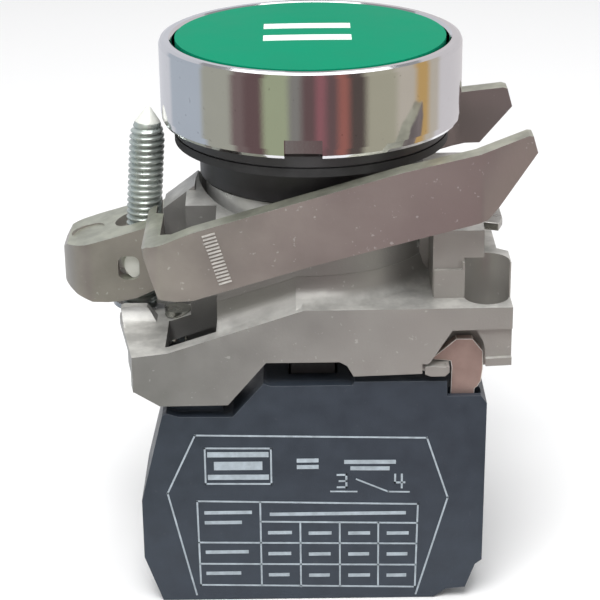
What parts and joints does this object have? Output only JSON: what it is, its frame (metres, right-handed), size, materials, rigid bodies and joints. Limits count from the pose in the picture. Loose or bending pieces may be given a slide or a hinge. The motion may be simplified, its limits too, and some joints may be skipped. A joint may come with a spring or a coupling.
{
  "type": "industrial push button",
  "caption": "Panel-mounted round push button with a metal bezel, a clamp base with a screw-tightened yoke and a clip-on switch contact block.",
  "frame": {"origin": "on the head's axis, at the gasket face that meets the front of the panel", "axes": "+Z out of the panel towards the cap, -Y towards the side where the contact block sits, +X from the clamp screw towards the tips of the yoke arms"},
  "size_m": [0.0457, 0.03, 0.0543],
  "materials": {
    "bezel_chrome": "polished",
    "cap_green": "satin gloss",
    "bar_white": "satin",
    "black_plastic": "satin moulded",
    "spring_steel": "drawn wire",
    "black_rubber": "matte",
    "bright_metal": "bright plated",
    "cast_zinc": "die cast, satin grey",
    "plated_steel": "zinc plated",
    "yoke_zinc": "die cast, satin, slightly warm",
    "slate_plastic": "satin moulded",
    "contact_brass": "stamped",
    "latch_steel": "stamped plate"
  },
  "bodies": {
    "frame": {"bezel_ring": "bezel_chrome", "head_body": "black_plastic", "panel_gasket": "black_rubber", "bayonet_sleeve": "bright_metal", "wiper_seal": "black_rubber", "mounting_base": "cast_zinc", "base_rivets": "plated_steel", "yoke_pivot_pins": "plated_steel", "block_housing": "slate_plastic", "block_cover": "slate_plastic", "fixed_contact_left": "contact_brass", "fixed_contact_right": "contact_brass", "latch_pin": "plated_steel", "return_spring": "spring_steel", "pusher_spring": "spring_steel", "latch_spring": "spring_steel"},
    "button": {"button_cap": "cap_green", "cap_bars": "bar_white", "plunger": "black_plastic", "retaining_clip": "spring_steel"},
    "pusher": {"contact_pusher": "black_plastic", "contact_spring": "spring_steel"},
    "bridge": {"moving_bridge": "contact_brass"},
    "yoke": {"clamp_yoke": "yoke_zinc"},
    "nut": {"barrel_nut": "bright_metal"},
    "ring": {"screw_ring": "spring_steel"},
    "screw": {"clamp_screw": "plated_steel"},
    "lever": {"lock_lever": "plated_steel"},
    "latch": {"latch_hook": "latch_steel"},
    "saddle_left": {"terminal_saddle_left": "plated_steel"},
    "saddle_right": {"terminal_saddle_right": "plated_steel"},
    "terminal_left": {"terminal_screw_left": "plated_steel"},
    "terminal_right": {"terminal_screw_right": "plated_steel"}
  },
  "joints": [
    {"name": "button_press", "type": "slide", "parent": "frame", "child": "button", "axis": [0, 0, -1], "range_m": [0, 0.004], "stiffness_N_per_m": 600, "springref_m": -0.003, "deforming": ["return_spring"]},
    {"name": "pusher_slide", "type": "slide", "parent": "frame", "child": "pusher", "axis": [0, 0, -1], "range_m": [0, 0.004], "deforming": ["pusher_spring"]},
    {"name": "bridge_slide", "type": "slide", "parent": "frame", "child": "bridge", "axis": [0, 0, -1], "range_m": [0, 0.0024], "deforming": ["contact_spring"]},
    {"name": "yoke_tilt", "type": "hinge", "parent": "frame", "child": "yoke", "pos_m": [-0.007, 0, -0.0085], "axis": [0, 1, 0], "range_deg": [0, 9.5]},
    {"name": "nut_swivel", "type": "hinge", "parent": "yoke", "child": "nut", "pos_m": [-0.01707, 0, -0.012], "axis": [0, 1, 0], "range_deg": [-14.1, 0]},
    {"name": "screw_advance", "type": "slide", "parent": "nut", "child": "ring", "axis": [0.0767, 0, 0.9971], "range_m": [-0.008, 0.0005]},
    {"name": "screw_spin", "type": "hinge", "parent": "ring", "child": "screw", "pos_m": [-0.01707, 0, -0.012], "axis": [0.0767, 0, 0.9971], "range_deg": [-4810, 310]},
    {"name": "lever_turn", "type": "hinge", "parent": "frame", "child": "lever", "pos_m": [0, 0, -0.0075], "axis": [0, 0, 1], "range_deg": [0, 18]},
    {"name": "latch_release", "type": "hinge", "parent": "frame", "child": "latch", "pos_m": [0.0136, -0.0132, -0.0244], "axis": [0, 1, 0], "range_deg": [0, 10], "stiffness_Nm_per_rad": 0.03, "springref_deg": -8.59, "deforming": ["latch_spring"]},
    {"name": "saddle_left_slide", "type": "slide", "parent": "frame", "child": "saddle_left", "axis": [0, 0, -1], "range_m": [0, 0.0025]},
    {"name": "terminal_left_spin", "type": "hinge", "parent": "saddle_left", "child": "terminal_left", "pos_m": [-0.0118, -0.009, -0.038], "axis": [0, 0, -1], "range_deg": [0, 1510]},
    {"name": "saddle_right_slide", "type": "slide", "parent": "frame", "child": "saddle_right", "axis": [0, 0, -1], "range_m": [0, 0.0025]},
    {"name": "terminal_right_spin", "type": "hinge", "parent": "saddle_right", "child": "terminal_right", "pos_m": [0.011, -0.009, -0.038], "axis": [0, 0, -1], "range_deg": [0, 1510]}
  ],
  "couplings": [
    {"joint": "pusher_slide", "follows": "button_press", "ratio": 1},
    {"joint": "bridge_slide", "follows": "button_press", "ratio": 0.595},
    {"joint": "nut_swivel", "follows": "yoke_tilt", "ratio": -1.4632},
    {"joint": "screw_spin", "follows": "screw_advance", "rad_per_m": 10472},
    {"joint": "terminal_left_spin", "follows": "saddle_left_slide", "rad_per_m": 10472},
    {"joint": "terminal_right_spin", "follows": "saddle_right_slide", "rad_per_m": 10472}
  ]
}
